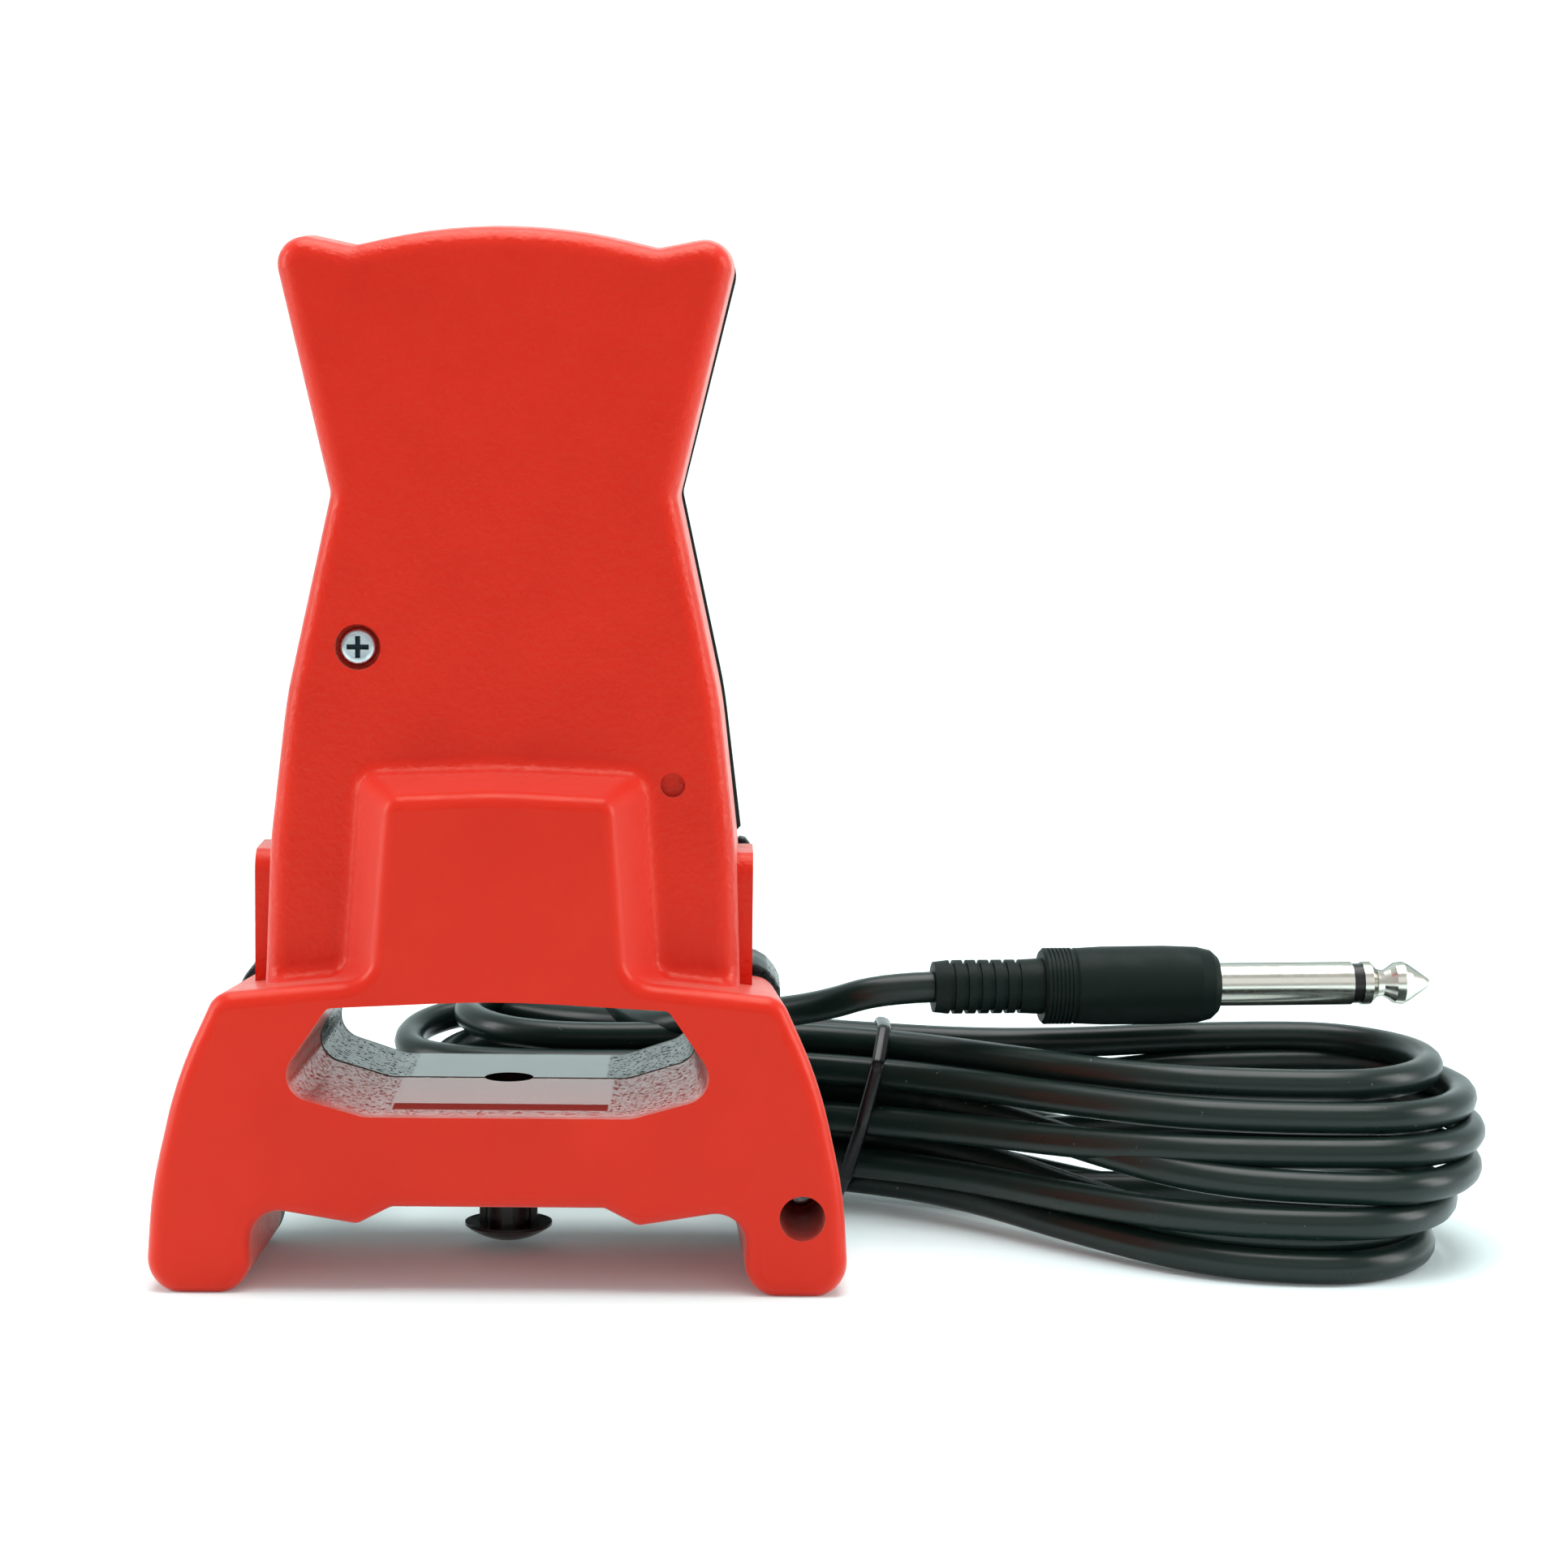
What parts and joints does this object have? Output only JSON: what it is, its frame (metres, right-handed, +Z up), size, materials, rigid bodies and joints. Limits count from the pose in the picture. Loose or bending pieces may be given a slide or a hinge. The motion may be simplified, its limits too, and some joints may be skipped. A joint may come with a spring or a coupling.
{
  "type": "sustain pedal",
  "caption": "Keyboard sustain pedal standing on end: red underside shell with a raised tray, black housing, hinged lever, plunger switch, tied cord and phone plug.",
  "frame": {"origin": "bottom centre of the pedal without its cord, on the surface that it stands on", "axes": "+Z up along the pedal from its heel to its toe end, +Y from the underside to the tread, +X to the right seen from the underside"},
  "size_m": [0.1859, 0.1202, 0.1439],
  "materials": {
    "red_shell": "satin moulded ABS with a fine grain",
    "black_shell": "satin moulded ABS",
    "black_gloss": "smooth moulded acetal",
    "tread_rubber": "ribbed matte rubber",
    "steel": "bright zinc plated",
    "nylon": "natural nylon",
    "felt": "pressed felt",
    "bumper_rubber": "soft matte rubber",
    "board": "phenolic board",
    "terminal_brass": "tinned brass",
    "lead_insulation": "thin PVC insulation",
    "cord_pvc": "smooth soft PVC jacket",
    "plug_moulding": "matte moulded plug body",
    "plug_metal": "polished nickel plate",
    "plug_insulation": "black insulating ring"
  },
  "bodies": {
    "base": {"bottom_shell": "red_shell", "top_housing": "black_shell", "hinge_pin": "steel", "felt_stop": "felt", "bumper_pads": "bumper_rubber", "return_spring": "steel", "switch_board": "board", "switch_body": "black_gloss", "switch_terminals": "terminal_brass", "switch_leads": "lead_insulation", "board_screw": "steel", "board_nut": "steel", "housing_screw": "steel", "cord_clamp": "black_shell", "cord_gland": "cord_pvc", "cord_lead": "cord_pvc", "cord_hank": "cord_pvc", "hank_tie": "black_gloss", "cord_tail": "cord_pvc", "plug_relief": "plug_moulding", "plug_collar": "plug_moulding", "plug_body": "plug_moulding", "plug_sleeve": "plug_metal", "plug_insulator": "plug_insulation", "plug_tip": "plug_metal"},
    "pedal": {"pedal_lever": "black_shell", "tread_pad": "tread_rubber", "hinge_bush_left": "nylon", "hinge_bush_right": "nylon"},
    "plunger": {"switch_plunger": "nylon"},
    "peg": {"lock_peg": "black_gloss"}
  },
  "joints": [
    {"name": "pedal_hinge", "type": "hinge", "parent": "base", "child": "pedal", "pos_m": [0, 0.0055, 0.05], "axis": [1, 0, 0], "range_deg": [0, 6], "stiffness_Nm_per_rad": 5, "springref_deg": -6.88, "deforming": ["return_spring"]},
    {"name": "switch_plunger_slide", "type": "slide", "parent": "base", "child": "plunger", "axis": [0, -1, 0], "range_m": [0, 0.0038]},
    {"name": "lock_peg_slide", "type": "slide", "parent": "base", "child": "peg", "axis": [0, 0, 1], "range_m": [0, 0.007]}
  ],
  "couplings": [
    {"joint": "switch_plunger_slide", "follows": "pedal_hinge", "m_per_rad": 0.0362}
  ]
}
